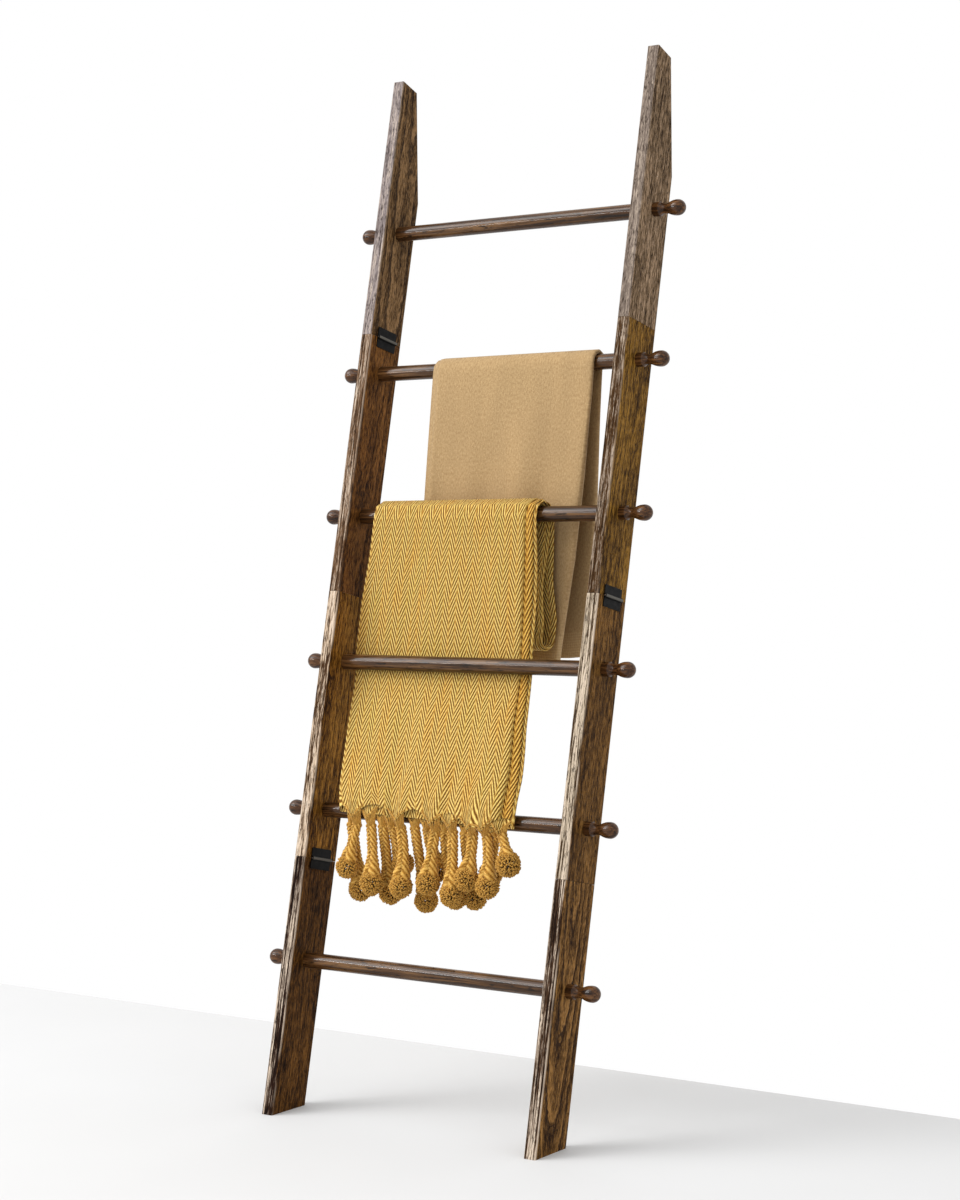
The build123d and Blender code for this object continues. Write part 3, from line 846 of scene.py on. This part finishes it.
def throw_waves(x, height, back, edge):
    """How far soft folds push the cloth out, and by what share its plies spread. The folds
    are between the rungs, with finer ones where the hem is gathered, and the right edge
    curls back where no rung presses on it."""
    z3, z4, z5 = RUNGS[3][1], RUNGS[4][1], RUNGS[5][1]
    upper = smooth_step(z3 - height, 0.01, 0.09) * smooth_step(height - z4, 0.01, 0.09)
    lower = smooth_step(z4 - height, 0.02, 0.12)
    gathered = smooth_step(height, z5 + 0.10, z5 + 0.01)
    broad = ripple(x + 0.10 * height, (0.093, 0.3, 1.0), (0.061, 1.9, 0.6), (0.150, 0.9, 0.6))
    narrow = ripple(x, (0.031, 0.8, 1.0), (0.046, 2.1, 0.6))
    front = 0.003 * upper * broad + 0.004 * lower * broad + 0.003 * gathered * narrow
    curl = 0.007 * smooth_step(x, edge - 0.024, edge + 0.002) * (upper + lower)
    belly = smooth_step(height, z3 - 0.03, z3 - 0.12)
    fan = (0.18 * lower + 0.25 * gathered) * (1 - back)
    return (front - curl) * (1 - back) - 0.003 * belly * broad * back, fan


def make_throw():
    """The throw: folded in half twice across and once along, with both hems in front."""
    path = throw_path()
    across, level, bulge, flat = quarter_folded("left", columns=60, ply_width=THROW_PANEL)
    row_along, row_turn = throw_rows(path)
    along, level_grid = np.meshgrid(row_along, level, indexing="ij")
    turn = row_turn[:, None] + 0 * along
    across, bulge_grid = across[None, :] + 0 * along, bulge[None, :] + 0 * along
    inner = 0.5 - 0.5 * np.cos(turn)

    # The fold at the foot of the back is loose: the inner plies hang away from the outer ones.
    radius = THROW_PLY * (0.5 + level_grid)
    opening = LOOSE_FOLD * smooth_step(along, path.top + 0.03, path.length - 0.03)
    stack = PLIES * THROW_PLY + radius * np.cos(turn) - opening * (1 - np.cos(turn))
    along = along + (radius + LOOSE_FOLD) * np.sin(turn)

    height = path.look_up(path.line, np.clip(along, 0, path.length))[..., 1]
    back = smooth_step(along, path.top - 0.02, path.top + 0.02)
    left, right, edge = throw_edges(height, back, level_grid, inner)
    x = left + (right - left) * across + bulge_grid * THROW_PLY
    wave, fan = throw_waves(x, height, back, edge)
    out = stack * (1 + fan) + wave
    x, along, out = gather_hems(x, along, out, level_grid, row_along, row_turn)
    points = np.concatenate([x[..., None], path.at(along, out)], axis=-1)

    steps = np.abs(np.diff(row_along)) + 0.004 * np.abs(np.diff(row_turn))
    flat_along = np.concatenate([[0], np.cumsum(steps)])
    material = herringbone("herringbone")
    piece = sheet_piece("folded_throw", points, flat, flat_along, THROW_THICKNESS, material)
    yarn = spun_yarn("mustard_yarn")
    tassels = [make_tassel(number, place, hem_line(points, level, place), yarn)
               for number, place in enumerate(TASSELS, 1)]
    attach(piece, "throw")
    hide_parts("mustard_throw")


def gather_hems(x, along, out, level, row_along, row_turn):
    """Each braid draws its share of its ply's hem in and down, and between braids the hem
    arches up. The hems also hang a little lower towards the right."""
    pull_reach = 0.018
    for row in ("front", "behind"):
        own_end = (row_turn < 1) if row == "front" else (row_turn > 2)
        near_hem = (own_end * (1 - smooth_step(row_along, 0.0, 0.032)))[:, None]
        near_soft = (own_end * (1 - smooth_step(row_along, 0.0, 0.08)))[:, None]
        along = along - 0.006 * smooth_step(x, -0.12, 0.12) * near_hem
        for ply in range(PLIES):
            places = np.array([place[0] / 1000 for place in TASSELS if place[3:] == (row, ply)])
            if not len(places):
                continue
            offsets = x[..., None] - places
            nearest = np.argmin(np.abs(offsets), axis=-1)[..., None]
            offset = np.take_along_axis(offsets, nearest, axis=-1)[..., 0]
            own_ply = hill(level, ply, 0.5)
            pull = np.exp(-(offset / pull_reach) ** 2) * own_ply
            x = x - offset * pull * (0.5 * near_hem + 0.12 * near_soft)
            along = along + (0.013 * own_ply - 0.021 * pull) * near_hem
            out = out + 0.0015 * pull * near_soft
    return x, along, out


def hem_line(points, level, tassel):
    """The points of one ply's hem that a tassel's yarns come from."""
    row = points[0] if tassel[3] == "front" else points[-1]
    own = row[np.abs(level - tassel[4]) < 0.01]
    return own[np.argsort(own[:, 0])]


# ---- Tassels ----

class Strands:
    """Collects tubes and tufts into one mesh, with a UV map and a tip value for each point,
    from 0 deep among the yarns to 1 in the open, by which the yarn's material paints shade."""

    TUFT_SIDES = 5
    TUFT_LENGTH = 0.004

    def __init__(self):
        self.points, self.faces, self.flat, self.openness_to_light = [], [], [], []

    def tube(self, line, radii, sides, core=None):
        """A closed tube along a line of points, with a radius at each. With a core line, the
        tip value falls towards it, for the painted shade in the hollows between the strands of a braid."""
        line = np.asarray(line)
        run = np.gradient(line, axis=0)
        run /= np.linalg.norm(run, axis=1)[:, None]
        never_along_run = (0.0, 1.0, 0.13)
        across = np.cross(run, never_along_run)
        across /= np.linalg.norm(across, axis=1)[:, None]
        up = np.cross(across, run)
        angles = np.arange(sides) * FULL_TURN / sides
        cosines, sines = np.cos(angles)[None, :, None], np.sin(angles)[None, :, None]
        ring = cosines * across[:, None] + sines * up[:, None]
        ring = line[:, None] + ring * np.asarray(radii)[:, None, None]
        start = len(self.points)
        self.points += ring.reshape(-1, 3).tolist()
        if core is None:
            self.openness_to_light += [1.0] * (len(line) * sides)
        else:
            away = np.linalg.norm(ring - core[:, None], axis=2) / np.asarray(radii)[:, None]
            self.openness_to_light += smooth_step(away, 0.9, 1.7).reshape(-1).tolist()
        runs = np.linalg.norm(np.diff(line, axis=0), axis=1)
        lengths = np.concatenate([[0], np.cumsum(runs)])
        for step in range(len(line) - 1):
            for side in range(sides):
                after = (side + 1) % sides
                low, high = start + step * sides, start + (step + 1) * sides
                self.faces.append((low + side, low + after, high + after, high + side))
                u0, u1 = side / sides, (side + 1) / sides
                v0, v1 = lengths[step], lengths[step + 1]
                self.flat += [(u0, v0), (u1, v0), (u1, v1), (u0, v1)]
        for ring_start, flip in ((start, True), (start + (len(line) - 1) * sides, False)):
            cap = [ring_start + side for side in range(sides)]
            self.faces.append(tuple(cap[::-1] if flip else cap))
            self.flat += [(0.0, 0.0)] * sides

    def tuft(self, foot, tip, foot_radius, tip_radius, spin):
        """A cut end of yarn: a short stub that comes to a blunt point."""
        sides = self.TUFT_SIDES
        foot, tip = Vector(foot), Vector(tip)
        run = (tip - foot).normalized()
        across = run.orthogonal().normalized()
        across.rotate(Matrix.Rotation(spin, 3, run))
        up = run.cross(across)
        start = len(self.points)
        for centre, radius, openness_value in ((foot, foot_radius, 0.0), (tip, tip_radius, 1.0)):
            for side in range(sides):
                angle = FULL_TURN * side / sides
                outward = math.cos(angle) * across + math.sin(angle) * up
                self.points.append(tuple(centre + radius * outward))
                self.openness_to_light.append(openness_value)
        self.points.append(tuple(tip + run * tip_radius * 0.7))
        self.openness_to_light.append(1.0)
        end, point = start + sides, start + 2 * sides
        for side in range(sides):
            after = (side + 1) % sides
            self.faces.append((start + side, start + after, end + after, end + side))
            u0, u1 = side / sides, (side + 1) / sides
            self.flat += [(u0, 0), (u1, 0), (u1, self.TUFT_LENGTH), (u0, self.TUFT_LENGTH)]
            self.faces.append((end + side, end + after, point))
            self.flat += [(0, 0)] * 3

    def piece(self, name, material):
        """The whole mesh as one object."""
        mesh = bpy.data.meshes.new(name)
        mesh.from_pydata(self.points, [], self.faces)
        layer = mesh.uv_layers.new(name="cloth")
        layer.data.foreach_set("uv", np.array(self.flat).reshape(-1))
        openness_to_light = mesh.attributes.new("tip", "FLOAT", "POINT")
        openness_to_light.data.foreach_set("value", self.openness_to_light)
        mesh.polygons.foreach_set("use_smooth", [True] * len(mesh.polygons))
        mesh.materials.append(material)
        return add_object(name, mesh)


# A strand's radius, its swing across and in depth, the length of one swing, and a mesh step.
STRAND_RADIUS = 0.0038
STRAND_SWAY = 0.0044
STRAND_DEPTH = 0.0026
PLAIT_PITCH = 0.0185
PLAIT_STEP = 0.0014


def plait(strands, top, bottom, draws):
    """Three thick strands plaited from top to bottom, swelling into the pom-pom. Each sways
    to both sides once in the pitch, and passes in front or behind at each crossing."""
    top, bottom = np.array(top), np.array(bottom)
    length = np.linalg.norm(bottom - top)
    down = (bottom - top) / length
    facing = draws.uniform(-0.5, 0.5)
    side = np.cross(down, (math.sin(facing), -math.cos(facing), 0.0))
    side /= np.linalg.norm(side)
    front = np.cross(side, down)
    bow = draws.uniform(-0.004, 0.004)
    shares = np.linspace(0, 1, int(length / PLAIT_STEP))
    flare = 1 + 0.7 * smooth_step(shares, 0.55, 1.0)
    turns = FULL_TURN * length / PLAIT_PITCH
    middle = top + np.outer(shares * length, down) + np.outer(np.sin(shares * math.pi) * bow, side)
    for strand in range(3):
        phase = shares * turns + strand * FULL_TURN / 3
        line = middle + np.outer(STRAND_SWAY * np.sin(phase) * flare, side)
        line = line + np.outer(STRAND_DEPTH * np.sin(2 * phase) * flare, front)
        strands.tube(line, STRAND_RADIUS * flare, 12, middle)


def pompom(strands, centre, radius, draws):
    """A ball of cut yarn ends on a spiral of even spacing, each a little off its place."""
    count = 620
    core = radius * 0.62
    spiral_turn = math.pi * (3 - math.sqrt(5))
    for number in range(count):
        z = 1 - 2 * (number + 0.5) / count
        angle = number * spiral_turn + draws.uniform(-0.06, 0.06)
        level = math.sqrt(1 - z * z)
        direction = Vector((level * math.cos(angle), level * math.sin(angle), z))
        lean = Vector([draws.uniform(-1, 1) for _ in range(3)]) * 0.13
        lump = 1 + 0.07 * noise.noise(direction * 1.8 + centre * 40)
        reach = radius * lump * draws.uniform(0.93, 1.03)
        foot = centre + direction * core
        tip = centre + (direction + lean).normalized() * reach
        tip.z = centre.z + (tip.z - centre.z) * 1.04
        strands.tuft(foot, tip, 0.0008, draws.uniform(0.0010, 0.0013), draws.uniform(0, 6.28))


def yarn_fan(strands, hem, top, draws):
    """Bunched warp yarns that run from the hem into the top of a braid."""
    count = 13
    hem_reach = 0.017
    braid_reach = 0.0048
    for number in range(count):
        share = 2 * (number + 0.5) / count - 1
        across = top[0] + share * hem_reach + draws.uniform(-0.0006, 0.0006)
        across = min(max(across, hem[0, 0]), hem[-1, 0])
        hem_y, hem_z = [np.interp(across, hem[:, 0], hem[:, axis]) for axis in (1, 2)]
        start = np.array([across, hem_y - 0.0006, hem_z + 0.004])
        # The middle yarns enter the braid at its front and the outer ones at its back.
        turn = math.acos(-share) * 2 - math.pi
        end = top + np.array([share * braid_reach, -0.003 * math.cos(turn), -0.005])
        middle = (start + end) / 2 + np.array([-0.002 * share, -0.0022, 0])
        steps = np.linspace(0, 1, 9)[:, None]
        line = (1 - steps) ** 2 * start + 2 * steps * (1 - steps) * middle + steps**2 * end
        strands.tube(line, np.linspace(0.0011, 0.0016, 9), 6)


TASSEL_SEED = 100


def make_tassel(number, place, hem, yarn):
    """One tassel: a fan of warp yarns, a plait and a pom-pom. The first one also stands for
    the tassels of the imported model."""
    hem_across, pompom_across, drop, row, _ = place
    draws = random.Random(TASSEL_SEED + number)
    y, z = RUNGS[5]
    top = np.array([hem_across / 1000, y + BRAID_DEPTH[row], z - BRAID_TOP])
    centre = Vector((pompom_across / 1000, y + POMPOM_DEPTH[row], z - drop / 1000))
    strands = Strands()
    yarn_fan(strands, hem, top, draws)
    radius = POMPOM_RADIUS * draws.uniform(0.97, 1.06)
    hang = np.array(centre) - top
    end = np.array(centre) - hang / np.linalg.norm(hang) * radius * 0.55
    plait(strands, top, end, draws)
    pompom(strands, centre, radius, draws)
    piece = strands.piece(f"tassel_{number}", yarn)
    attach(piece, "throw")
    if number == 1:
        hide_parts("throw_tassels")
    return piece


make_blanket()
make_throw()
